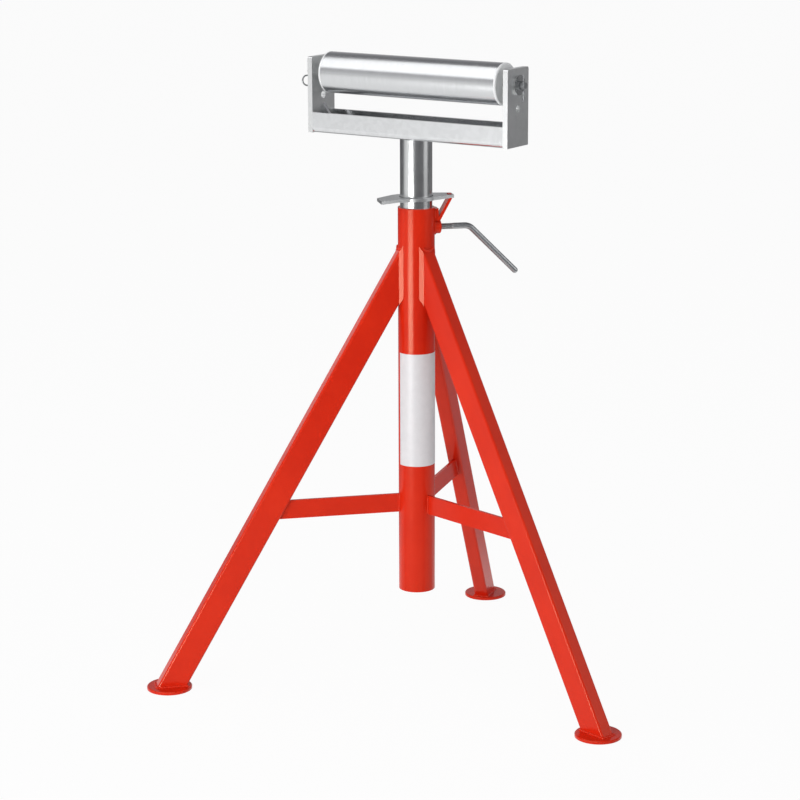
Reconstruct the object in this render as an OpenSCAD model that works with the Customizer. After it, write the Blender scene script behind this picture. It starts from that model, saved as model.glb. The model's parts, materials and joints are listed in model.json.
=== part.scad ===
// Height-adjustable pipe roller support: a welded tripod, a telescoping post held by a tilting
// brake plate and a clamp screw, and a swivelling head with one plain roller.
// Millimetres, +Z up. The origin is on the floor under the post, +X along the roller.

/* [Post] */
// Outside diameter of the fixed post
post_d = 48.3; // [46:0.1:60]
// Wall of the fixed post
post_wall = 2.85; // [2:0.05:4]
// Length of the fixed post
post_len = 518.5; // [420:0.5:640]
// Height of the post's lower end above the floor
post_lift = 116.5; // [80:0.5:160]
// Radial gap between the two posts
slide_gap = 0.3; // [0.2:0.05:0.6]
// Wall of the sliding post
mast_wall = 2.6; // [2:0.1:4]
// Length of the sliding post
mast_len = 545; // [460:1:620]
// Part of the sliding post that shows above the fixed post
mast_show = 89.5; // [60:0.5:200]

/* [Tripod] */
// Radius of the circle through the foot centres
foot_reach = 338; // [280:1:420]
// Direction of the first leg, seen from above
leg_turn = -14.5; // [-30:0.5:30]
// Distance from the post's top down to where a leg's axis meets it
leg_drop = 90; // [75:0.5:130]
// Width of a leg tube along the tripod's rim
leg_w = 20; // [16:0.5:26]
// Depth of a leg tube
leg_h = 35; // [28:0.5:42]
// Wall of a leg tube
leg_wall = 2; // [1.5:0.1:3]
// Corner radius of a leg tube
leg_round = 3; // [2.5:0.1:5]
// Leg length of the weld bead beside a leg
weld_leg = 3.5; // [3:0.5:6]
// Diameter of a foot disc
foot_d = 60; // [50:1:80]
// Thickness of a foot disc
foot_t = 4; // [3:0.5:8]
// Height of the brace bars above the post's lower end
brace_rise = 120.5; // [60:0.5:180]
// Depth of a brace bar, which stands on edge
brace_h = 25; // [18:0.5:35]
// Thickness of a brace bar
brace_t = 4; // [3:0.5:8]

/* [Clamp screw] */
// Distance from the post's top down to the screw's axis
clamp_drop = 27; // [22:0.5:45]
// Diameter of the screw
screw_d = 8; // [6:0.5:10]
// Radial gap between the screw and its boss
screw_gap = 0.1; // [0.05:0.01:0.1]
// Diameter of the threaded boss
boss_d = 18; // [15:0.5:20]
// Length of the boss outside the post
boss_len = 8; // [6:0.5:12]
// Straight length of the screw from the boss to the bend
screw_out = 38.5; // [28:0.5:50]
// Length of the bent arm
lever_len = 92; // [70:1:120]
// Fall of the bent arm below level
lever_fall = 45; // [20:1:50]
// Radius of the bend on the rod's axis
lever_bend = 15; // [10:0.5:18]

/* [Brake plate] */
// Thickness of the brake plate
brake_t = 4; // [3.5:0.5:6]
// Tilt of the plate at rest
brake_tilt = 1.5; // [0.5:0.5:6]
// Diametral gap between the plate's hole and the sliding post
brake_gap = 2; // [1.8:0.1:3]
// Ring of plate left round the hole
brake_rim = 5.5; // [4:0.5:8]
// Distance from the post axis to the end of the finger tab
tab_reach = 49; // [44:1:80]
// Width of the finger tab at its end
tab_w = 30; // [20:1:36]
// Dip of the finger tab below the plate
tab_dip = 6; // [2:1:15]
// Width of the plate's tail
tail_w = 18; // [16:1:26]
// Distance from the post axis to the ridge that carries the tail
pivot_reach = 44; // [41:0.5:55]
// Height of the ridge above the fixed post's top
pivot_rise = 11.5; // [10:0.5:24]
// Width of the bracket strap
strap_w = 16; // [12:1:20]
// Thickness of the bracket strap
strap_t = 4; // [3:0.5:6]

/* [Roller head] */
// Length of the head over its end plates
head_len = 305; // [240:1:380]
// Width of the channel and the end plates
head_w = 51; // [44:0.5:70]
// Height of the end plates
plate_h = 99; // [92:0.5:130]
// Thickness of the end plates
plate_t = 7; // [5:0.5:10]
// Height of the channel's flanges
flange_h = 26.5; // [18:0.5:32]
// Thickness of the channel
channel_t = 5; // [3:0.5:6]
// Outside radius of the channel's bends
channel_bend = 7; // [6.5:0.5:9]
// Height of the roller's axis above the channel's underside
axle_rise = 77.7; // [72:0.1:84]
// Height of the small round hole in each end plate
eye_rise = 47.5; // [44:0.5:54]
// Diameter of the small round hole in each end plate
eye_d = 10; // [6:0.5:12]
// Height of the corner gusset
gusset_h = 37; // [28:0.5:42]
// Length of the corner gusset along the channel
gusset_len = 24; // [14:0.5:34]
// Thickness of the corner gusset
gusset_t = 5; // [3:0.5:8]
// Length of the spigot in the sliding post
spigot_len = 45; // [30:1:60]
// Wall of the spigot
spigot_wall = 3; // [2:0.1:5]

/* [Roller] */
// Diameter of the roller
roller_d = 54; // [46:0.5:60]
// Gap between an end plate and the roller's end
roller_clear = 10.5; // [5:0.5:20]
// Wall of the roller tube
roller_wall = 2; // [1.5:0.1:3]
// Thickness of an end cap's flange
cap_flange = 3; // [2:0.5:5]
// Depth of an end cap inside the tube
cap_depth = 16; // [12:0.5:24]
// Diameter of the axle
axle_d = 12; // [10:0.1:13]
// Radial gap between the axle and the end plates
axle_gap = 0.1; // [0.05:0.01:0.2]
// Endwise play that the axle has taken up towards the left
axle_play = 3; // [0:0.5:6]
// Outside diameter of a bearing
bearing_d = 28; // [26:0.5:32]
// Width of a bearing
bearing_w = 8; // [7:0.5:9]
// Diameter of a bearing ball
ball_d = 3.2; // [2.8:0.1:3.6]
// Balls in one bearing
ball_count = 8; // [6:1:10]
// Diameter of a washer
washer_d = 26; // [22:0.5:30]
// Thickness of a washer
washer_t = 2.5; // [1.5:0.1:4]
// Diameter of the turned axle end
nose_d = 8; // [7:0.1:9]
// Wire of an axle clip
clip_wire = 2; // [1.6:0.1:2.4]
// Mean radius of an axle clip's loop
clip_loop = 7; // [6:0.1:8]
// Turn of a clip's loop from the axle's line, towards the front, seen from above
clip_turn = 55; // [30:1:80]

/* [Hidden] */

$fn = 64;
eps = 0.01;
red = "firebrick";
plated = "silver";
zinc = "gainsboro";
plastic = "lightgray";

// Post and mast
post_r = post_d / 2;
post_top = post_lift + post_len;
mast_d = post_d - 2 * (post_wall + slide_gap);
mast_top = post_top + mast_show;
mast_bottom = mast_top - mast_len;

// Legs: the axis runs from the foot circle on the floor to the post's face
leg_joint = post_top - leg_drop;
leg_lean = atan((foot_reach - post_r) / leg_joint);
leg_run = foot_reach / sin(leg_lean);
right_turn = 0;
rear_turn = 120;
left_turn = 240;
// Half of a leg's depth measured level
leg_half = leg_h / 2 / cos(leg_lean);
brace_z = post_lift + brace_rise;
foot_edge = foot_t / 4;

// Clamp screw: halfway between the first two legs
lever_turn = leg_turn + 60;
clamp_z = post_top - clamp_drop;
bore_d = screw_d + 2 * screw_gap;
boss_end = post_r + boss_len;
bend_at = boss_end + screw_out;
boss_edge = 1;
lever_edge = 1.5;
pad_gap = 0.3;
pad_start = mast_d / 2 + pad_gap;
screw_start = post_r;
// Length of the straight parts that the bend takes away
bend_cut = lever_bend * tan(lever_fall / 2);
// The rod swells a little where it was bent, and the straight parts run into the swelling
bend_swell = 0.1;
bend_lap = 0.5;

// Brake plate, drawn from its pivot ridge
hole_d = mast_d + brake_gap;
pivot_z = post_top + pivot_rise;
seat_gap = 0.2;
// Along the plate, from the ridge to the middle of its hole
hole_reach = pivot_reach / cos(brake_tilt) - brake_t / 2 * tan(brake_tilt);
// The tab dips from the edge of the ring; the side profile is drawn past both ends
bend_reach = hole_d / 2 + brake_rim;
tab_past = tab_reach + brake_t;
tab_fall = (tab_past - bend_reach) * tan(tab_dip);
plate_past = brake_t + tab_fall;
tail_end = 4.5;
tongue_w = 8;
tongue_t = 4;
tongue_gap = 1.2;
tongue_proud = 1;
strap_low = clamp_z + boss_d / 2;
strap_drop = 2;
strap_high = post_top - strap_drop;
arm_foot = post_r + strap_t;
arm_slope = atan((pivot_z - strap_low) / (pivot_reach - arm_foot));
// Half of the slanted arm measured level
arm_half = strap_t / 2 / sin(arm_slope);
ridge_fall = 1.2;

// Head
head_z = mast_top;
plate_in = head_len / 2 - plate_t;
axle_z = head_z + axle_rise;
spigot_d = mast_d - 2 * (mast_wall + slide_gap);
plate_round = 3;

// Roller and axle, measured from the middle of the head
cap_end = plate_in - roller_clear;
tube_end = cap_end - cap_flange;
tube_bore = roller_d - 2 * roller_wall;
cap_edge = 1;
bearing_out = tube_end;
bearing_in = bearing_out - bearing_w;
ball_ring = (axle_d + bearing_d) / 4;
race_gap = 0.15;
land = 1;
spacer_wall = 2.5;
spacer_d = axle_d + 2 * spacer_wall;
cap_gap = 1;
cap_hole_d = spacer_d + 2 * cap_gap;
washer_out = head_len / 2 + washer_t;

// Axle ends and their clips; a clip is drawn in (side, height) about the axle
clip_clear = 4.5;
clip_at = washer_out + clip_clear + axle_play;
clip_gap = 0.3;
cross_d = clip_wire + 2 * clip_gap;
nose_root = clip_at - cross_d;
nose_tail = 4;
nose_end = clip_at + nose_tail;
clip_hug = nose_d / 2 / sin(clip_turn) + clip_gap + clip_wire / 2;
clip_drop = clip_hug + clip_loop - clip_wire / 2;
clip_rise = 2 * clip_hug;
clip_bow = 60;
loop_end = clip_loop * [1 + cos(clip_bow), sin(clip_bow)] - [0, clip_drop];
bow_low = clip_hug * [cos(clip_bow), -sin(clip_bow)];
bow_high = clip_hug * [cos(clip_bow), sin(clip_bow)];
clip_tip = [clip_hug, clip_rise];

// Turns its children to the direction of one leg
module on_leg(turn) {
    rotate([0, 0, leg_turn + turn])
        children();
}

// Stands a profile drawn in (radius, height) up in the plane of its direction
module upright(thickness) {
    rotate([90, 0, 0])
        translate([0, 0, -thickness / 2])
            linear_extrude(thickness)
                children();
}

// Cylinder along +X
module x_rod(d, from, to) {
    translate([from, 0, 0])
        rotate([0, 90, 0])
            cylinder(d = d, h = to - from);
}

// Ring along +X
module x_tube(d, bore, from, to) {
    difference() {
        x_rod(d, from, to);
        x_rod(bore, from - eps, to + eps);
    }
}

// Solid of the fixed post, for coping what is welded to it
module post_solid() {
    cylinder(d = post_d, h = post_top + post_lift);
}

module round_rect(w, h, r) {
    square([w - 2 * r, h], center = true);
    square([w, h - 2 * r], center = true);
    for (x = [-1, 1], y = [-1, 1])
        translate([x * (w / 2 - r), y * (h / 2 - r)])
            circle(r);
}

// Puts its children, drawn about +Z from the foot upwards, on the line of a leg
module along_leg() {
    translate([foot_reach, 0, 0])
        rotate([0, -leg_lean, 0])
            children();
}

// Weld bead along both sides of a leg's joint with the post
module leg_beads() {
    seat = sqrt(pow(post_r, 2) - pow(leg_w / 2, 2));
    intersection() {
        for (side = [-1, 1])
            linear_extrude(post_top)
                polygon([
                    [seat - weld_leg, side * (leg_w / 2 - leg_wall / 2)],
                    [seat + weld_leg, side * (leg_w / 2 - leg_wall / 2)],
                    [seat + weld_leg, side * leg_w / 2],
                    [seat - weld_leg / 2, side * (leg_w / 2 + weld_leg)],
                    [seat - weld_leg, side * (leg_w / 2 + weld_leg)]
                ]);
        along_leg()
            translate([-leg_h / 2, -leg_w, 0])
                cube([leg_h, 2 * leg_w, leg_run]);
    }
}

module leg(turn) {
    color(red)
        on_leg(turn)
            difference() {
                union() {
                    along_leg()
                        translate([0, 0, -leg_h])
                            linear_extrude(leg_run + leg_h)
                                round_rect(leg_h, leg_w, leg_round);
                    leg_beads();
                }
                along_leg()
                    translate([0, 0, -leg_h])
                        linear_extrude(leg_run + 2 * leg_h)
                            round_rect(leg_h - 2 * leg_wall, leg_w - 2 * leg_wall, leg_round - leg_wall);
                post_solid();
                translate([0, -leg_w, foot_t - 2 * leg_h])
                    cube([2 * foot_reach, 2 * leg_w, 2 * leg_h]);
            }
}

module foot(turn) {
    color(red)
        on_leg(turn)
            translate([foot_reach, 0, 0]) {
                cylinder(d = foot_d, h = foot_t - foot_edge);
                translate([0, 0, foot_t - foot_edge])
                    cylinder(d1 = foot_d, d2 = foot_d - 2 * foot_edge, h = foot_edge);
            }
}

// Level distance from the post axis to a leg's inner face at height z
function leg_inside(z) = foot_reach - z * tan(leg_lean) - leg_half;

module brace(turn) {
    low = brace_z - brace_h / 2;
    high = brace_z + brace_h / 2;
    color(red)
        on_leg(turn)
            difference() {
                upright(brace_t)
                    polygon([[0, low], [leg_inside(low), low], [leg_inside(high), high], [0, high]]);
                post_solid();
            }
}

module outer_post() {
    color(red)
        difference() {
            translate([0, 0, post_lift])
                cylinder(d = post_d, h = post_len);
            translate([0, 0, post_lift - eps])
                cylinder(d = post_d - 2 * post_wall, h = post_len + 2 * eps);
            rotate([0, 0, lever_turn])
                translate([0, 0, clamp_z])
                    x_rod(bore_d, 0, post_d);
        }
}

module clamp_boss() {
    color(red)
        rotate([0, 0, lever_turn])
            difference() {
                translate([0, 0, clamp_z]) {
                    x_rod(boss_d, 0, boss_end - boss_edge);
                    translate([boss_end - boss_edge, 0, 0])
                        rotate([0, 90, 0])
                            cylinder(d1 = boss_d, d2 = boss_d - 2 * boss_edge, h = boss_edge);
                }
                post_solid();
                translate([0, 0, clamp_z])
                    x_rod(bore_d, 0, boss_end + eps);
            }
}

// Strap on the post, a slanted arm with a ridge on top, and a tongue that keeps the plate
module brake_bracket() {
    color(red)
        rotate([0, 0, lever_turn])
            difference() {
                union() {
                    upright(strap_w) {
                        translate([0, strap_low])
                            square([post_r + strap_t, strap_high - strap_low]);
                        polygon([
                            [arm_foot - arm_half, strap_low],
                            [arm_foot + arm_half, strap_low],
                            [pivot_reach + arm_half, pivot_z - seat_gap - ridge_fall / 2],
                            [pivot_reach, pivot_z - seat_gap],
                            [pivot_reach - arm_half, pivot_z - seat_gap - ridge_fall]
                        ]);
                    }
                    upright(tongue_w)
                        translate([pivot_reach - tongue_t / 2, pivot_z - strap_t])
                            square([tongue_t, strap_t + brake_t + tongue_proud]);
                }
                post_solid();
                translate([0, 0, clamp_z])
                    x_rod(boss_d, 0, boss_end);
            }
}

module brake_outline() {
    difference() {
        union() {
            translate([-hole_reach, 0])
                circle(d = hole_d + 2 * brake_rim);
            polygon([
                [tail_end, -tail_w / 2],
                [tail_end, tail_w / 2],
                [-hole_reach, hole_d / 2 + brake_rim],
                [-hole_reach - tab_reach, tab_w / 2],
                [-hole_reach - tab_reach, -tab_w / 2],
                [-hole_reach, -hole_d / 2 - brake_rim]
            ]);
        }
        translate([-hole_reach, 0])
            circle(d = hole_d);
        square([tongue_t + 2 * tongue_gap, tongue_w + 2 * tongue_gap], center = true);
    }
}

// Side view of the plate: level, then dipping along the tab
module brake_profile() {
    polygon([
        [tail_end + brake_t, 0],
        [tail_end + brake_t, brake_t],
        [-hole_reach - bend_reach, brake_t],
        [-hole_reach - tab_past, brake_t - tab_fall],
        [-hole_reach - tab_past, -tab_fall],
        [-hole_reach - bend_reach, 0]
    ]);
}

module brake_plate() {
    color(plated)
        rotate([0, 0, lever_turn])
            translate([pivot_reach, 0, pivot_z])
                rotate([0, -brake_tilt, 0])
                    intersection() {
                        translate([0, 0, -plate_past])
                            linear_extrude(3 * plate_past)
                                brake_outline();
                        upright(2 * hole_d)
                            brake_profile();
                    }
}

module clamp_pad() {
    color("peru")
        rotate([0, 0, lever_turn])
            difference() {
                translate([0, 0, clamp_z])
                    x_rod(screw_d, 0, screw_start);
                translate([0, 0, clamp_z - screw_d])
                    cylinder(r = pad_start, h = 2 * screw_d);
            }
}

// Screw and lever are one rod, bent once
module clamp_screw() {
    color(plated)
        rotate([0, 0, lever_turn])
            translate([0, 0, clamp_z]) {
                x_rod(screw_d, screw_start, bend_at - bend_cut + bend_lap);
                translate([bend_at - bend_cut, 0, -lever_bend])
                    rotate([90, 0, 0])
                        rotate([0, 0, 90 - lever_fall])
                            rotate_extrude(angle = lever_fall)
                                translate([lever_bend, 0])
                                    circle(d = screw_d + bend_swell);
                translate([bend_at, 0, 0])
                    rotate([0, lever_fall, 0]) {
                        x_rod(screw_d, bend_cut - bend_lap, lever_len - lever_edge);
                        translate([lever_len - lever_edge, 0, 0])
                            rotate([0, 90, 0])
                                cylinder(d1 = screw_d, d2 = screw_d - 2 * lever_edge, h = lever_edge);
                    }
            }
}

module inner_post() {
    color(plated)
        translate([0, 0, mast_bottom])
            difference() {
                cylinder(d = mast_d, h = mast_len);
                translate([0, 0, -eps])
                    cylinder(d = mast_d - 2 * mast_wall, h = mast_len + 2 * eps);
            }
}

module head_spigot() {
    color(zinc)
        translate([0, 0, head_z - spigot_len])
            difference() {
                cylinder(d = spigot_d, h = spigot_len);
                translate([0, 0, -eps])
                    cylinder(d = spigot_d - 2 * spigot_wall, h = spigot_len + 2 * eps);
            }
}

// Half of a bent channel section: one flange, one bend and half of the web
module channel_half() {
    translate([head_w / 2 - channel_t, channel_bend])
        square([channel_t, flange_h - channel_bend]);
    square([head_w / 2 - channel_bend, channel_t]);
    translate([head_w / 2 - channel_bend, channel_bend])
        difference() {
            intersection() {
                circle(channel_bend);
                translate([0, -channel_bend])
                    square(channel_bend);
            }
            circle(channel_bend - channel_t);
        }
}

module head_channel() {
    color(zinc)
        translate([-plate_in, 0, head_z])
            rotate([90, 0, 90])
                linear_extrude(2 * plate_in) {
                    channel_half();
                    mirror([1, 0])
                        channel_half();
                }
}

module end_plate_outline() {
    difference() {
        union() {
            translate([-head_w / 2, 0])
                square([head_w, plate_h - plate_round]);
            translate([plate_round - head_w / 2, 0])
                square([head_w - 2 * plate_round, plate_h]);
            for (side = [-1, 1])
                translate([side * (head_w / 2 - plate_round), plate_h - plate_round])
                    circle(plate_round);
        }
        translate([0, axle_rise])
            circle(d = axle_d + 2 * axle_gap);
        translate([0, eye_rise])
            circle(d = eye_d);
    }
}

// Draws its children at the right end, or mirrored at the left end
module at_end(side) {
    if (side > 0)
        children();
    else
        mirror([1, 0, 0])
            children();
}

module end_plate(side) {
    color(zinc)
        at_end(side)
            translate([plate_in, 0, head_z])
                rotate([90, 0, 90])
                    linear_extrude(plate_t)
                        end_plate_outline();
}

module gusset(side) {
    color(zinc)
        at_end(side)
            translate([plate_in, 0, head_z])
                upright(gusset_t)
                    polygon([[0, channel_t], [0, gusset_h], [-gusset_len, channel_t]]);
}

// Shaft with a turned and cross-drilled nose at both ends, shifted by its play
module roller_axle() {
    color(plated)
        translate([-axle_play / 2, 0, axle_z])
            for (side = [-1, 1])
                at_end(side)
                    difference() {
                        union() {
                            x_rod(axle_d, 0, nose_root - axle_play / 2);
                            x_rod(nose_d, 0, nose_end - axle_play / 2);
                        }
                        translate([clip_at - axle_play / 2, 0, 0])
                            cylinder(d = cross_d, h = axle_d, center = true);
                    }
}

module axle_washer(side) {
    color(plated)
        at_end(side)
            translate([0, 0, axle_z])
                x_tube(washer_d, axle_d, head_len / 2, washer_out);
}

module axle_spacer(side) {
    color(plated)
        at_end(side)
            translate([0, 0, axle_z])
                x_tube(spacer_d, axle_d, bearing_out, plate_in);
}

// Straight wire between two points of the clip's plane
module clip_rod(from, to) {
    run = to - from;
    translate([from[0], 0, from[1]])
        rotate([0, atan2(run[0], run[1]), 0])
            cylinder(d = clip_wire, h = norm(run));
}

// Bent wire about a point of the clip's plane
module clip_arc(centre, radius, from, sweep) {
    translate([centre[0], 0, centre[1]])
        rotate([90, 0, 0])
            rotate([0, 0, from])
                rotate_extrude(angle = sweep)
                    translate([radius, 0])
                        circle(d = clip_wire + bend_swell);
}

// Spring clip: a straight leg in the axle's cross hole, a loop, and a leg bowed round the axle
module axle_clip(side) {
    color(plated)
        translate([side * (clip_at - axle_play / 2) - axle_play / 2, 0, axle_z])
            rotate([0, 0, side > 0 ? -clip_turn : clip_turn + 180]) {
                clip_rod([0, -clip_drop - bend_lap], [0, clip_rise]);
                clip_arc([clip_loop, -clip_drop], clip_loop, 180, 180 + clip_bow);
                clip_rod(loop_end, bow_low);
                clip_arc([0, 0], clip_hug, -clip_bow, 2 * clip_bow);
                clip_rod(bow_high, clip_tip);
                for (p = [[0, clip_rise], loop_end, bow_low, bow_high, clip_tip])
                    translate([p[0], 0, p[1]])
                        sphere(d = clip_wire + 2 * bend_swell);
            }
}

module roller_tube() {
    color(plated)
        translate([0, 0, axle_z])
            x_tube(roller_d, tube_bore, -tube_end, tube_end);
}

module end_cap(side) {
    color(plastic)
        at_end(side)
            translate([0, 0, axle_z])
                difference() {
                    union() {
                        x_rod(tube_bore, tube_end - cap_depth, tube_end);
                        x_rod(roller_d, tube_end, cap_end - cap_edge);
                        translate([cap_end - cap_edge, 0, 0])
                            rotate([0, 90, 0])
                                cylinder(d1 = roller_d, d2 = roller_d - 2 * cap_edge, h = cap_edge);
                    }
                    x_rod(bearing_d, 0, bearing_out);
                    x_rod(cap_hole_d, 0, cap_end + eps);
                }
}

// Bearing ring between two radii, with a ball groove
module race(inner_r, outer_r) {
    translate([bearing_in, 0, axle_z])
        rotate([0, 90, 0])
            rotate_extrude()
                difference() {
                    translate([inner_r, 0])
                        square([outer_r - inner_r, bearing_w]);
                    translate([ball_ring, bearing_w / 2])
                        circle(ball_d / 2 + race_gap);
                }
}

module bearing_inner(side) {
    color(plated)
        at_end(side)
            race(axle_d / 2, ball_ring - land);
}

module bearing_outer(side) {
    color(plated)
        at_end(side)
            race(ball_ring + land, bearing_d / 2);
}

module bearing_balls(side) {
    color(plated)
        at_end(side)
            translate([bearing_in + bearing_w / 2, 0, axle_z])
                for (i = [0 : ball_count - 1])
                    rotate([i * 360 / ball_count, 0, 0])
                        translate([0, 0, ball_ring])
                            sphere(d = ball_d);
}

outer_post();
leg(right_turn);  // leg_right
leg(rear_turn);  // leg_rear
leg(left_turn);  // leg_left
foot(right_turn);  // foot_right
foot(rear_turn);  // foot_rear
foot(left_turn);  // foot_left
brace(right_turn);  // brace_right
brace(rear_turn);  // brace_rear
brace(left_turn);  // brace_left
clamp_boss();
brake_bracket();
brake_plate();
clamp_pad();
clamp_screw();
inner_post();
head_spigot();
head_channel();
end_plate(-1);  // end_plate_left
end_plate(1);  // end_plate_right
gusset(-1);  // gusset_left
gusset(1);  // gusset_right
roller_axle();
axle_washer(-1);  // axle_washer_left
axle_washer(1);  // axle_washer_right
axle_spacer(-1);  // axle_spacer_left
axle_spacer(1);  // axle_spacer_right
bearing_inner(-1);  // bearing_inner_left
bearing_inner(1);  // bearing_inner_right
axle_clip(-1);  // axle_clip_left
axle_clip(1);  // axle_clip_right
roller_tube();
end_cap(-1);  // end_cap_left
end_cap(1);  // end_cap_right
bearing_outer(-1);  // bearing_outer_left
bearing_outer(1);  // bearing_outer_right
bearing_balls(-1);  // bearing_balls_left
bearing_balls(1);  // bearing_balls_right
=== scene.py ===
"""Looks of a pipe roller support: camera, studio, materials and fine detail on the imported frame."""
import json
import math

import bpy
from mathutils import Matrix, Vector


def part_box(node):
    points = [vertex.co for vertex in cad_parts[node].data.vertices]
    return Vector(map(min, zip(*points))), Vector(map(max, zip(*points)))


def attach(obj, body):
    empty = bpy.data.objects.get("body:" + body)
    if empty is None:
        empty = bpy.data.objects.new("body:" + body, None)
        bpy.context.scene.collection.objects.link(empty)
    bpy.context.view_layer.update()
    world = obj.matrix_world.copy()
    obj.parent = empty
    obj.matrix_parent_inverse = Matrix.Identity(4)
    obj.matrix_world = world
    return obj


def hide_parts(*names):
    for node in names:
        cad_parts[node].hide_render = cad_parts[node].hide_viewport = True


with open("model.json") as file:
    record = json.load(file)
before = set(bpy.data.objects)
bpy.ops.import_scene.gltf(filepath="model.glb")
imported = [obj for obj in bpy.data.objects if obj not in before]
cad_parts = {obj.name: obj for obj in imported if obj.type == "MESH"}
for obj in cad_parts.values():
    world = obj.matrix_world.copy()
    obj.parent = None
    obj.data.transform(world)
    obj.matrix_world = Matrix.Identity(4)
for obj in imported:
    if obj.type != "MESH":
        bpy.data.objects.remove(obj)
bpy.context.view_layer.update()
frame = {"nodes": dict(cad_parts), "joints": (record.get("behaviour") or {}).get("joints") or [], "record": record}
MM = 0.001

# The photograph's camera, fitted to the frame's own sizes
VIEW_AZIMUTH = math.radians(32.98)
VIEW_DISTANCE = 3.211
VIEW_HEIGHT = 1.165
VIEW_PITCH = math.radians(13.80)
VIEW_ROLL = math.radians(-0.21)
FRAME_PX = 800
FOCAL_PX = 2495.3
POST_AXIS_PX = 417.1
SENSOR_MM = 36.0

# Sizes read from the frame
POST_LOW, POST_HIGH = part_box("outer_post")
POST_R = (POST_HIGH.x - POST_LOW.x) / 2
POST_TOP = POST_HIGH.z
JOINTS = {joint["name"]: joint for joint in frame["joints"]}
MOUNTS = {mount["name"]: mount for mount in frame["record"]["mounts"]}
LEVER_AXIS = Vector(JOINTS["clamp_turn"]["axis"])
LEVER_Z = JOINTS["clamp_turn"]["pos_m"][2]
FOOT_SPOTS = [Vector(MOUNTS[name]["pos_m"]) for name in ("floor_right", "floor_rear", "floor_left")]

# Sizes that the frame's boxes don't give
LEG_DEPTH = 35 * MM
LEG_WIDTH = 20 * MM
LEG_DROP = 90 * MM
LEG_LEAN = math.atan((FOOT_SPOTS[0].length - POST_R) / (POST_TOP - LEG_DROP))
LEG_HALF = LEG_DEPTH / 2 / math.cos(LEG_LEAN)
BRACE_THICK = 4 * MM
BOSS_R = 9 * MM
STRAP_WIDTH = 16 * MM
SCREW_R = 4 * MM
SCREW_PITCH = 1.25 * MM
THREAD_DEPTH = 0.6 * MM
THREAD_LENGTH = 25 * MM
THREAD_STEPS = 14
SCREW_TO_BEND = 46.5 * MM
LEVER_LENGTH = 92 * MM
LEVER_FALL = math.radians(45)
LEVER_BEND = 15 * MM
BEND_STEPS = 12
TIP_STEPS = 8
LABEL_LOW = 291 * MM
LABEL_HIGH = 443 * MM
LABEL_THICK = 0.25 * MM
LABEL_GAP = 0.02 * MM
LABEL_COLUMNS = 48
LABEL_START = math.radians(-120)
LABEL_SWEEP = math.radians(180)
EDGE_BREAK = 0.6 * MM
SHARP_EDGE = math.radians(40)

# Depths of the materials' fine relief
ORANGE_PEEL = 0.02 * MM
DRAWN_LINES = 0.03 * MM
TURNED_LINES = 0.01 * MM
ROUGH_LINES = 0.08 * MM
ZINC_GRAIN = 0.02 * MM
MOULD_GRAIN = 0.03 * MM

# White paper that metal mirrors: each edge's turn from the camera, distance, fade and share left
PAPER_EDGES = (
    (30, 0.3, 1.3, 0.0),
    (90, 0.8, 0.5, 0.6),
    (180, 0.2, 0.55, 0.18),
    (-145, 2.7, 0.8, 0.2),
)
PAPER_WHITE = 0.95
FLOOR_REACH = 40.0

# Tones of the floor, off the paper and then on it, and of the room, from its horizon up
PAPER_TONES = ((0.0, (0.26, 0.26, 0.27)), (0.3, (0.85, 0.85, 0.85)), (0.7, (0.89, 0.89, 0.89)))
ROOM_TONES = ((0.0, (0.98, 0.98, 0.98)), (0.10, (0.64, 0.64, 0.65)), (0.60, (0.20, 0.20, 0.21)))
BACKDROP_WHITE = (0.985, 0.985, 0.985)

# Softboxes: turn from the camera and elevation in degrees, distance, width and height in metres, watts
SOFTBOXES = {
    "strip_softbox": (-36.5, -9.25, 1.75, 0.88, 0.33, 13),
    "key_softbox": (-55, 60, 2.6, 3.2, 2.8, 39),
    "fill_softbox": (72, 15, 3.0, 1.8, 2.2, 12),
}
SOFTBOX_AIM = Vector((0, 0, 0.45))


# Node helpers

def new_material(name):
    material = bpy.data.materials.new(name)
    material.use_nodes = True
    return material, material.node_tree, material.node_tree.nodes["Principled BSDF"]


def stretched_noise(tree, scale, stretch=(1, 1, 1), detail=4.0, roughness=0.55):
    """Noise in the frame's metres, squeezed along each axis by stretch."""
    place = tree.nodes.new("ShaderNodeTexCoord")
    mapping = tree.nodes.new("ShaderNodeMapping")
    mapping.inputs["Scale"].default_value = stretch
    noise = tree.nodes.new("ShaderNodeTexNoise")
    noise.inputs["Scale"].default_value = scale
    noise.inputs["Detail"].default_value = detail
    noise.inputs["Roughness"].default_value = roughness
    tree.links.new(place.outputs["Object"], mapping.inputs["Vector"])
    tree.links.new(mapping.outputs["Vector"], noise.inputs["Vector"])
    return noise.outputs["Fac"]


def colour_ramp(tree, factor, stops):
    """Colour read from a factor along stops, each a position and a colour."""
    ramp = tree.nodes.new("ShaderNodeValToRGB")
    elements = ramp.color_ramp.elements
    for i, (position, colour) in ((0, stops[0]), (1, stops[-1])):
        elements[i].position = position
        elements[i].color = (*colour, 1)
    for position, colour in stops[1:-1]:
        elements.new(position).color = (*colour, 1)
    tree.links.new(factor, ramp.inputs["Fac"])
    return ramp.outputs["Color"]


def colour_between(tree, factor, dark, light):
    """Colour that runs from dark to light over the middle of a factor's range."""
    return colour_ramp(tree, factor, ((0.3, dark), (0.7, light)))


def value_between(tree, factor, low, high):
    """Value that runs from low to high over a factor's range."""
    scaled = tree.nodes.new("ShaderNodeMapRange")
    scaled.inputs["To Min"].default_value = low
    scaled.inputs["To Max"].default_value = high
    tree.links.new(factor, scaled.inputs["Value"])
    return scaled.outputs["Result"]


def add_bump(tree, shader, factor, depth):
    bump = tree.nodes.new("ShaderNodeBump")
    bump.inputs["Strength"].default_value = 1.0
    bump.inputs["Distance"].default_value = depth
    tree.links.new(factor, bump.inputs["Height"])
    tree.links.new(bump.outputs["Normal"], shader.inputs["Normal"])


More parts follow.
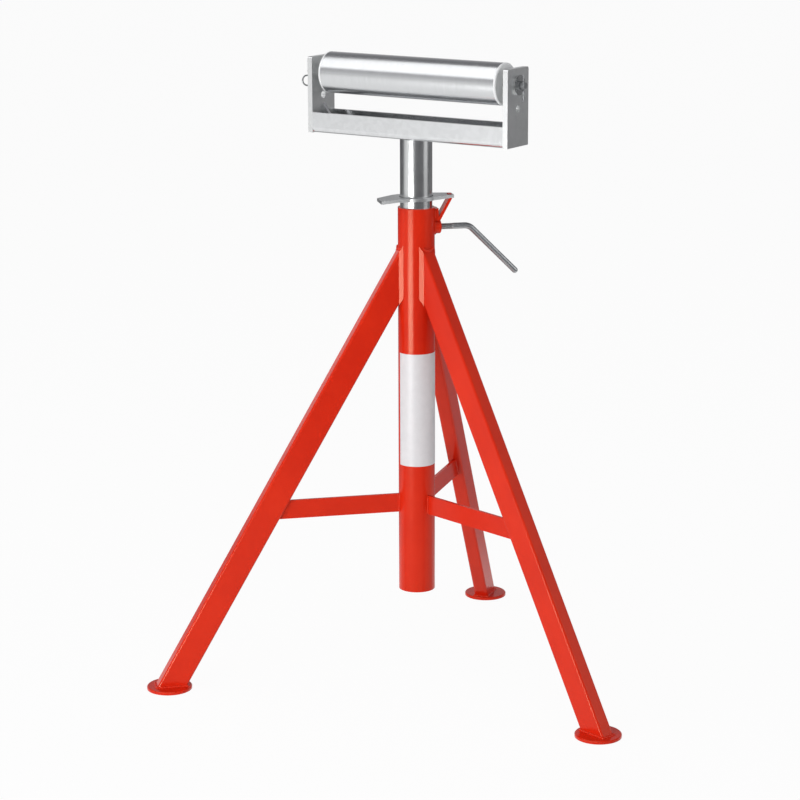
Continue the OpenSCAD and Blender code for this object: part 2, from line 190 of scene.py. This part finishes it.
# Materials

def red_paint():
    """Gloss enamel with a little orange peel and slow drifts of tone."""
    material, tree, shader = new_material("red_enamel")
    drift = stretched_noise(tree, scale=14, detail=3)
    tone = colour_between(tree, drift, (0.63, 0.018, 0.005), (0.71, 0.024, 0.006))
    tree.links.new(tone, shader.inputs["Base Color"])
    cloud = stretched_noise(tree, scale=60)
    tree.links.new(value_between(tree, cloud, low=0.17, high=0.24), shader.inputs["Roughness"])
    add_bump(tree, shader, stretched_noise(tree, scale=500, detail=2), ORANGE_PEEL)
    shader.inputs["Specular IOR Level"].default_value = 0.28
    shader.inputs["Specular Tint"].default_value = (1.0, 0.85, 0.60, 1)
    return material


def bright_steel(name, dark, light, stretch, rough, scratch=DRAWN_LINES):
    """Drawn or turned steel whose fine lines run along the axes that stretch leaves low."""
    material, tree, shader = new_material(name)
    lines = stretched_noise(tree, scale=160, stretch=stretch, detail=6, roughness=0.7)
    tree.links.new(colour_between(tree, lines, dark, light), shader.inputs["Base Color"])
    cloud = stretched_noise(tree, scale=45, detail=5)
    tree.links.new(value_between(tree, cloud, rough[0], rough[1]), shader.inputs["Roughness"])
    add_bump(tree, shader, lines, scratch)
    shader.inputs["Metallic"].default_value = 1.0
    return material


def zinc_steel(name, dark, light, rough):
    """Zinc-coated plate with faint crystals in its tone and clouds in its gloss."""
    material, tree, shader = new_material(name)
    place = tree.nodes.new("ShaderNodeTexCoord")
    crystals = tree.nodes.new("ShaderNodeTexVoronoi")
    crystals.inputs["Scale"].default_value = 160
    tree.links.new(place.outputs["Object"], crystals.inputs["Vector"])
    tone = colour_between(tree, crystals.outputs["Color"], dark, light)
    tree.links.new(tone, shader.inputs["Base Color"])
    cloud = stretched_noise(tree, scale=70, detail=6)
    tree.links.new(value_between(tree, cloud, rough[0], rough[1]), shader.inputs["Roughness"])
    add_bump(tree, shader, stretched_noise(tree, scale=420, detail=5), ZINC_GRAIN)
    shader.inputs["Metallic"].default_value = 1.0
    return material


def moulded_plastic(name, dark, light, rough):
    """Plastic or vinyl with a fine grain and slow drifts of tone and gloss."""
    material, tree, shader = new_material(name)
    drift = stretched_noise(tree, scale=90)
    tree.links.new(colour_between(tree, drift, dark, light), shader.inputs["Base Color"])
    tree.links.new(value_between(tree, drift, rough[0], rough[1]), shader.inputs["Roughness"])
    add_bump(tree, shader, stretched_noise(tree, scale=1500, detail=3), MOULD_GRAIN)
    return material


MATERIALS = {
    "red": red_paint(),
    "mast": bright_steel("plated_tube", (0.56, 0.57, 0.57), (0.70, 0.71, 0.71),
                         stretch=(6, 6, 0.15), rough=(0.16, 0.30)),
    "dark": bright_steel("dark_steel", (0.30, 0.31, 0.32), (0.44, 0.45, 0.46),
                         stretch=(2, 2, 2), rough=(0.26, 0.42)),
    "plate": bright_steel("rough_plate", (0.50, 0.51, 0.52), (0.66, 0.67, 0.67),
                          stretch=(3, 3, 3), rough=(0.28, 0.46), scratch=ROUGH_LINES),
    "roller": bright_steel("turned_roller", (0.62, 0.63, 0.64), (0.70, 0.71, 0.72),
                           stretch=(9, 0.3, 0.3), rough=(0.20, 0.28), scratch=TURNED_LINES),
    "zinc": zinc_steel("zinc_channel", (0.70, 0.71, 0.72), (0.73, 0.74, 0.75), rough=(0.19, 0.25)),
    "dull_zinc": zinc_steel("zinc_plate", (0.74, 0.75, 0.75), (0.77, 0.78, 0.78), rough=(0.28, 0.35)),
    "cap": moulded_plastic("cap_plastic", (0.86, 0.87, 0.87), (0.90, 0.91, 0.91), rough=(0.35, 0.5)),
    "label": moulded_plastic("label_vinyl", (0.71, 0.71, 0.72), (0.75, 0.75, 0.76), rough=(0.3, 0.42)),
    "brass": bright_steel("brass_pad", (0.55, 0.40, 0.16), (0.68, 0.52, 0.24),
                          stretch=(3, 3, 3), rough=(0.25, 0.4)),
}

SLOT_LOOKS = {
    "red_paint": "red",
    "plated_steel": "mast",
    "zinc_steel": "zinc",
    "roller_steel": "roller",
    "cap_plastic": "cap",
    "pad_brass": "brass",
}
NODE_LOOKS = {
    "brake_plate": "plate",
    "end_plate_left": "dull_zinc",
    "end_plate_right": "dull_zinc",
    "roller_axle": "dark",
    "axle_clip_left": "dark",
    "axle_clip_right": "dark",
}
BROKEN_EDGES = (
    "head_channel", "end_plate_left", "end_plate_right", "brake_plate", "brake_bracket",
    "brace_right", "brace_rear", "brace_left", "gusset_left", "gusset_right",
)


def dress_nodes():
    """Gives every CAD node its material, and the cut plates a fine broken edge."""
    slots = {part["node"]: part["material_slot"] for part in frame["record"]["subparts"]}
    for name, node in frame["nodes"].items():
        look = NODE_LOOKS.get(name, SLOT_LOOKS[slots[name]])
        node.data.materials.clear()
        node.data.materials.append(MATERIALS[look])
    for name in BROKEN_EDGES:
        edge = frame["nodes"][name].modifiers.new("broken_edge", "BEVEL")
        edge.width = EDGE_BREAK
        edge.segments = 2
        edge.limit_method = "ANGLE"
        edge.angle_limit = SHARP_EDGE
        edge.harden_normals = True


# Mesh helpers

def add_piece(name, vertices, faces, look, body):
    """Smooth mesh with its material, which rides on a body."""
    mesh = bpy.data.meshes.new(name)
    mesh.from_pydata(vertices, [], faces)
    mesh.validate()
    mesh.polygons.foreach_set("use_smooth", [True] * len(mesh.polygons))
    mesh.materials.append(MATERIALS[look])
    piece = bpy.data.objects.new(name, mesh)
    bpy.context.collection.objects.link(piece)
    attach(piece, body)
    return piece


def ring_faces(rings, sides, closed=False):
    """Quads between neighbouring rings of points, with caps unless the run is closed."""
    faces = []
    for ring in range(rings if closed else rings - 1):
        following = (ring + 1) % rings
        for side in range(sides):
            beside = (side + 1) % sides
            faces.append((ring * sides + side, ring * sides + beside,
                          following * sides + beside, following * sides + side))
    if not closed:
        faces.append(tuple(reversed(range(sides))))
        faces.append(tuple(range((rings - 1) * sides, rings * sides)))
    return faces


def frames_along(points, up, closed=False):
    """A point, a normal and a binormal for each point of a path; up is never along the path."""
    found = []
    count = len(points)
    for i, point in enumerate(points):
        before = points[(i - 1) % count] if closed or i else point
        after = points[(i + 1) % count] if closed or i < count - 1 else point
        along = (after - before).normalized()
        side = along.cross(up).normalized()
        found.append((point, side, side.cross(along)))
    return found


def tube(name, points, radius_at, look, body, up, sides, closed=False):
    """Tube along points, where radius_at gives the radius for a point's number and an angle."""
    vertices = []
    for i, (point, side, over) in enumerate(frames_along(points, up, closed)):
        for k in range(sides):
            angle = 2 * math.pi * k / sides
            out = side * math.cos(angle) + over * math.sin(angle)
            vertices.append(point + out * radius_at(i, angle))
    return add_piece(name, vertices, ring_faces(len(points), sides, closed), look, body)


def resampled(points, step, closed=False):
    """Points about one step apart along a polyline."""
    ends = points + points[:1] if closed else points
    spaced = []
    for start, end in zip(ends, ends[1:]):
        pieces = max(1, round((end - start).length / step))
        spaced.extend(start.lerp(end, i / pieces) for i in range(pieces))
    return spaced if closed else spaced + [ends[-1]]


def spread(start, end, step):
    """Even values from start to end, at most one step apart."""
    count = max(1, math.ceil((end - start) / step))
    return [start + (end - start) * i / count for i in range(count + 1)]


# Weld beads

BEAD_STEP = 0.5 * MM
BEAD_RIPPLE = 2.6 * MM
BEAD_RELIEF = 0.16
BEAD_SIDES = 12
BEAD_TIP = 0.35
BEAD_GROWTH = 0.2
BOSS_BEAD = 1.6 * MM
BOSS_BEAD_LIFT = 0.4 * MM
BOSS_POINTS = 72
STRAP_BEAD = 1.8 * MM
STRAP_ABOVE_BOSS = 2 * MM
STRAP_BELOW_TOP = 3 * MM
FOOT_BEAD = 2.0 * MM
LEG_BEAD = 2.4 * MM
LEG_BEAD_STEPS = 8
BRACE_BEAD = 1.6 * MM
BOTH_SIDES = ((-1, "a"), (1, "b"))


def weld(name, points, radius, up, closed=False):
    """Rippled red bead half sunk in the seam that it follows, thin at its ends."""
    path = resampled(points, BEAD_STEP, closed)

    def radius_at(i, angle):
        ripple = abs(math.sin(math.pi * i * BEAD_STEP / BEAD_RIPPLE))
        end = 1.0 if closed else min(1.0, BEAD_TIP + min(i, len(path) - 1 - i) * BEAD_GROWTH)
        return radius * end * (1 - BEAD_RELIEF + BEAD_RELIEF * ripple)

    tube(name, path, radius_at, "red", "stand", up, BEAD_SIDES, closed)


def spun(direction, radial, across, height):
    """Point at a radius and a sideways offset in the upright plane of a direction."""
    sideways = Vector((-direction.y, direction.x, 0))
    return direction * radial + sideways * across + Vector((0, 0, height))


def post_seat(across):
    """Distance from the post's axis to its face at a sideways offset."""
    return math.sqrt(POST_R ** 2 - across ** 2)


def boss_weld():
    """Bead round the clamp boss where it meets the post."""
    points = []
    for k in range(BOSS_POINTS):
        angle = 2 * math.pi * k / BOSS_POINTS
        across = BOSS_R * math.cos(angle)
        height = LEVER_Z + BOSS_R * math.sin(angle)
        points.append(spun(LEVER_AXIS, post_seat(across) + BOSS_BEAD_LIFT, across, height))
    weld("weld_boss", points, BOSS_BEAD, LEVER_AXIS, closed=True)


def strap_welds():
    """Bead down each side of the brake bracket's strap."""
    low = LEVER_Z + BOSS_R + STRAP_ABOVE_BOSS
    high = POST_TOP - STRAP_BELOW_TOP
    across = STRAP_WIDTH / 2
    for side, tag in BOTH_SIDES:
        seam = [spun(LEVER_AXIS, post_seat(across), side * across, z) for z in (low, high)]
        weld("weld_strap_" + tag, seam, STRAP_BEAD, LEVER_AXIS)


def foot_weld(tag, foot):
    """Bead round a leg where it stands on its foot disc."""
    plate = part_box("foot_" + tag)[1].z
    middle = foot.length - plate * math.tan(LEG_LEAN)
    near, far = middle - LEG_HALF, middle + LEG_HALF
    corners = ((near, -1), (far, -1), (far, 1), (near, 1))
    loop = [spun(foot.normalized(), r, side * LEG_WIDTH / 2, plate) for r, side in corners]
    weld("weld_foot_" + tag, loop, FOOT_BEAD, Vector((0, 0, 1)), closed=True)


def leg_end_welds(tag, foot):
    """Beads across a leg's upper and lower edge where it meets the post."""
    direction = foot.normalized()
    rise = LEG_HALF / math.tan(LEG_LEAN)
    for end, sign in (("top", 1), ("low", -1)):
        height = POST_TOP - LEG_DROP + sign * rise
        arc = []
        for k in range(LEG_BEAD_STEPS + 1):
            across = LEG_WIDTH * (k / LEG_BEAD_STEPS - 0.5)
            seat = post_seat(across)
            arc.append(spun(direction, seat, across, height + (POST_R - seat) / math.tan(LEG_LEAN)))
        weld("weld_leg_" + end + "_" + tag, arc, LEG_BEAD, direction)


def brace_welds(tag, foot):
    """Beads on both faces of a brace, at the post and at the leg."""
    direction = foot.normalized()
    heights = [corner.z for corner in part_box("brace_" + tag)]
    for side, mark in BOTH_SIDES:
        across = side * BRACE_THICK / 2
        seam = [spun(direction, POST_R, across, z) for z in heights]
        weld("weld_brace_post_" + tag + mark, seam, BRACE_BEAD, direction)
        reaches = [foot.length - z * math.tan(LEG_LEAN) - LEG_HALF for z in heights]
        seam = [spun(direction, reach, across, z) for reach, z in zip(reaches, heights)]
        weld("weld_brace_leg_" + tag + mark, seam, BRACE_BEAD, direction)


# Clamp screw with a real thread, bent once

THREAD_PLACES = spread(0, THREAD_LENGTH, SCREW_PITCH / THREAD_STEPS)
THREAD_RUNOUT = 2 * THREAD_STEPS
THREAD_FLANK = 4.2
THREAD_ROOT = 1.6
SCREW_SIDES = 40
SHANK_STEP = 2 * MM
LEVER_STEP = 3 * MM
TIP_FLAT = 0.12
TIP_SHORT = 0.4


def tip_angle(step):
    """Angle up the lever's rounded tip, whose last step stops short of the pole."""
    return math.pi / 2 * step / (TIP_STEPS + TIP_SHORT)


def lever_path():
    """Points of the rod's axis from the post to the lever's tip, finer along the thread."""
    down = Vector((0, 0, -1))
    start = LEVER_AXIS * POST_R + Vector((0, 0, LEVER_Z))
    trim = LEVER_BEND * math.tan(LEVER_FALL / 2)
    straight = SCREW_TO_BEND - trim
    shank = spread(THREAD_LENGTH, straight, SHANK_STEP)[1:]
    points = [start + LEVER_AXIS * s for s in THREAD_PLACES + shank]
    centre = start + LEVER_AXIS * straight + down * LEVER_BEND
    for k in range(1, BEND_STEPS + 1):
        turn = LEVER_FALL * k / BEND_STEPS
        points.append(centre + (LEVER_AXIS * math.sin(turn) - down * math.cos(turn)) * LEVER_BEND)
    along = LEVER_AXIS * math.cos(LEVER_FALL) + down * math.sin(LEVER_FALL)
    corner = start + LEVER_AXIS * SCREW_TO_BEND
    shoulder = LEVER_LENGTH - SCREW_R
    points += [corner + along * s for s in spread(trim, shoulder, LEVER_STEP)[1:]]
    for k in range(1, TIP_STEPS + 1):
        points.append(corner + along * (shoulder + SCREW_R * math.sin(tip_angle(k))))
    return points


def thread_profile(phase):
    """Depth share of a flat-topped thread over one pitch."""
    return min(1.0, max(0.0, THREAD_ROOT - THREAD_FLANK * abs(phase - 0.5)))


def clamp_screw():
    """Threaded rod bent to a lever with a rounded tip."""
    points = lever_path()
    thread_end = len(THREAD_PLACES) - 1
    tip_start = len(points) - 1 - TIP_STEPS

    def radius_at(i, angle):
        if i > tip_start:
            return SCREW_R * max(TIP_FLAT, math.cos(tip_angle(i - tip_start)))
        if i > thread_end:
            return SCREW_R
        turns = (points[i] - points[0]).length / SCREW_PITCH - angle / (2 * math.pi)
        runout = min(1.0, (thread_end - i) / THREAD_RUNOUT)
        return SCREW_R - THREAD_DEPTH * runout * thread_profile(turns % 1.0)

    sideways = Vector((-LEVER_AXIS.y, LEVER_AXIS.x, 0))
    piece = tube("threaded_lever", points, radius_at, "dark", "screw",
                 sideways, SCREW_SIDES)
    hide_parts("clamp_screw")


# Bare label on the post

def label():
    """Thin vinyl sheet wrapped half round the post."""
    vertices = []
    for radius in (POST_R + LABEL_GAP, POST_R + LABEL_THICK):
        for height in (LABEL_LOW, LABEL_HIGH):
            for k in range(LABEL_COLUMNS + 1):
                angle = LABEL_START + LABEL_SWEEP * k / LABEL_COLUMNS
                vertices.append(Vector((radius * math.cos(angle), radius * math.sin(angle), height)))
    row = LABEL_COLUMNS + 1
    faces = []
    for k in range(LABEL_COLUMNS):
        faces.append((2 * row + k, 2 * row + k + 1, 3 * row + k + 1, 3 * row + k))
        faces.append((k + 1, k, row + k, row + k + 1))
        faces.append((k, k + 1, 2 * row + k + 1, 2 * row + k))
        faces.append((row + k + 1, row + k, 3 * row + k, 3 * row + k + 1))
    faces.append((0, 2 * row, 3 * row, row))
    faces.append((row - 1, 2 * row - 1, 4 * row - 1, 3 * row - 1))
    piece = add_piece("post_label", vertices, faces, "label", "stand")
    edge = piece.modifiers.new("crisp_edges", "EDGE_SPLIT")
    edge.split_angle = SHARP_EDGE


# Studio

def make_camera():
    """Camera at the photograph's place, with the post's axis at its own column."""
    data = bpy.data.cameras.new("photo_camera")
    data.sensor_width = SENSOR_MM
    data.lens = FOCAL_PX * SENSOR_MM / FRAME_PX
    camera = bpy.data.objects.new("photo_camera", data)
    across = VIEW_DISTANCE * math.sin(VIEW_AZIMUTH)
    back = VIEW_DISTANCE * math.cos(VIEW_AZIMUTH)
    camera.location = (across, -back, VIEW_HEIGHT)
    yaw = math.atan((POST_AXIS_PX - FRAME_PX / 2) / FOCAL_PX)
    aim = Matrix.Rotation(VIEW_AZIMUTH + yaw, 3, "Z") @ Matrix.Rotation(math.pi / 2 - VIEW_PITCH, 3, "X")
    camera.rotation_euler = (aim @ Matrix.Rotation(VIEW_ROLL, 3, "Z")).to_euler()
    bpy.context.collection.objects.link(camera)
    bpy.context.scene.camera = camera


def softbox(name, azimuth, elevation, distance, width, height, watts):
    """Rectangular softbox aimed at the middle of the stand, its azimuth counted from the camera's."""
    turn = VIEW_AZIMUTH + math.radians(azimuth)
    rise = math.radians(elevation)
    away = Vector((math.sin(turn) * math.cos(rise), -math.cos(turn) * math.cos(rise), math.sin(rise)))
    data = bpy.data.lights.new(name, "AREA")
    data.shape = "RECTANGLE"
    data.size = width
    data.size_y = height
    data.energy = watts
    lamp = bpy.data.objects.new(name, data)
    lamp.location = SOFTBOX_AIM + away * distance
    lamp.rotation_mode = "QUATERNION"
    lamp.rotation_quaternion = (-away).to_track_quat("-Z", "Y")
    bpy.context.collection.objects.link(lamp)


def make_world():
    """Dim studio room with a pale horizon; the camera sees the white backdrop instead."""
    world = bpy.data.worlds.new("studio")
    world.use_nodes = True
    tree = world.node_tree
    place = tree.nodes.new("ShaderNodeTexCoord")
    split = tree.nodes.new("ShaderNodeSeparateXYZ")
    room = tree.nodes["Background"]
    backdrop = tree.nodes.new("ShaderNodeBackground")
    backdrop.inputs["Color"].default_value = (*BACKDROP_WHITE, 1)
    path = tree.nodes.new("ShaderNodeLightPath")
    mix = tree.nodes.new("ShaderNodeMixShader")
    tree.links.new(place.outputs["Generated"], split.inputs["Vector"])
    tree.links.new(colour_ramp(tree, split.outputs["Z"], ROOM_TONES), room.inputs["Color"])
    tree.links.new(path.outputs["Is Camera Ray"], mix.inputs["Fac"])
    tree.links.new(room.outputs["Background"], mix.inputs[1])
    tree.links.new(backdrop.outputs["Background"], mix.inputs[2])
    tree.links.new(mix.outputs["Shader"], tree.nodes["World Output"].inputs["Surface"])
    bpy.context.scene.world = world


def paper_mask(tree):
    """One on the paper near the stand; beyond each edge it falls to the share that is left there."""
    place = tree.nodes.new("ShaderNodeTexCoord")
    mask = 1.0
    for turn, edge, fade, left in PAPER_EDGES:
        towards = VIEW_AZIMUTH + math.radians(turn)
        reach = tree.nodes.new("ShaderNodeVectorMath")
        reach.operation = "DOT_PRODUCT"
        reach.inputs[1].default_value = (math.sin(towards), -math.cos(towards), 0.0)
        tree.links.new(place.outputs["Object"], reach.inputs[0])
        inside = fall_off(tree, reach.outputs["Value"], edge, edge + fade, left)
        mask = combined(tree, "MULTIPLY", mask, inside)
    return mask


def fall_off(tree, value, start, end, left):
    """Falls smoothly from one before start to what is left after end."""
    step = tree.nodes.new("ShaderNodeMapRange")
    step.interpolation_type = "SMOOTHSTEP"
    step.inputs["From Min"].default_value = start
    step.inputs["From Max"].default_value = end
    step.inputs["To Min"].default_value = 1.0
    step.inputs["To Max"].default_value = left
    tree.links.new(value, step.inputs["Value"])
    return step.outputs["Result"]


def combined(tree, operation, first, second):
    """Two values joined by a Math node; a plain number goes straight into its socket."""
    joined = tree.nodes.new("ShaderNodeMath")
    joined.operation = operation
    for socket, value in zip(joined.inputs, (first, second)):
        if isinstance(value, float):
            socket.default_value = value
        else:
            tree.links.new(value, socket)
    return joined.outputs["Value"]


def paper_tone(tree, off_paper):
    """Pale grained paper, and a dark room floor where metal mirrors the ground off the paper."""
    grain = stretched_noise(tree, scale=900, detail=2)
    return colour_ramp(tree, combined(tree, "SUBTRACT", grain, off_paper), PAPER_TONES)


def paper_material():
    """Paper that is white to the camera, keeps a soft shadow and shows metal the paper's edges."""
    material, tree, shader = new_material("studio_paper")
    path = tree.nodes.new("ShaderNodeLightPath")
    glossy, passed = path.outputs["Is Glossy Ray"], path.outputs["Is Transmission Ray"]
    mirrored = combined(tree, "MAXIMUM", glossy, passed)
    on_paper = combined(tree, "MULTIPLY", mirrored, paper_mask(tree))
    off_paper = combined(tree, "SUBTRACT", mirrored, on_paper)
    tree.links.new(paper_tone(tree, off_paper), shader.inputs["Base Color"])
    shader.inputs["Roughness"].default_value = 0.9
    seen = combined(tree, "MAXIMUM", path.outputs["Is Camera Ray"], on_paper)
    glow = tree.nodes.new("ShaderNodeEmission")
    mix = tree.nodes.new("ShaderNodeMixShader")
    tree.links.new(combined(tree, "MULTIPLY", seen, PAPER_WHITE), mix.inputs["Fac"])
    tree.links.new(shader.outputs["BSDF"], mix.inputs[1])
    tree.links.new(glow.outputs["Emission"], mix.inputs[2])
    tree.links.new(mix.outputs["Shader"], tree.nodes["Material Output"].inputs["Surface"])
    return material


def make_floor():
    """Level floor under the stand, part of the stage."""
    mesh = bpy.data.meshes.new("studio_floor")
    signs = ((-1, -1), (1, -1), (1, 1), (-1, 1))
    mesh.from_pydata([(x * FLOOR_REACH, y * FLOOR_REACH, 0) for x, y in signs], [], [(0, 1, 2, 3)])
    floor = bpy.data.objects.new("studio_floor", mesh)
    bpy.context.collection.objects.link(floor)
    mesh.materials.append(paper_material())


bpy.context.scene.view_settings.view_transform = "Standard"
dress_nodes()
boss_weld()
strap_welds()
for leg_tag, spot in zip(("right", "rear", "left"), FOOT_SPOTS):
    foot_weld(leg_tag, spot)
    leg_end_welds(leg_tag, spot)
    brace_welds(leg_tag, spot)
clamp_screw()
label()
make_camera()
make_world()
make_floor()
for lamp_name, setting in SOFTBOXES.items():
    softbox(lamp_name, *setting)
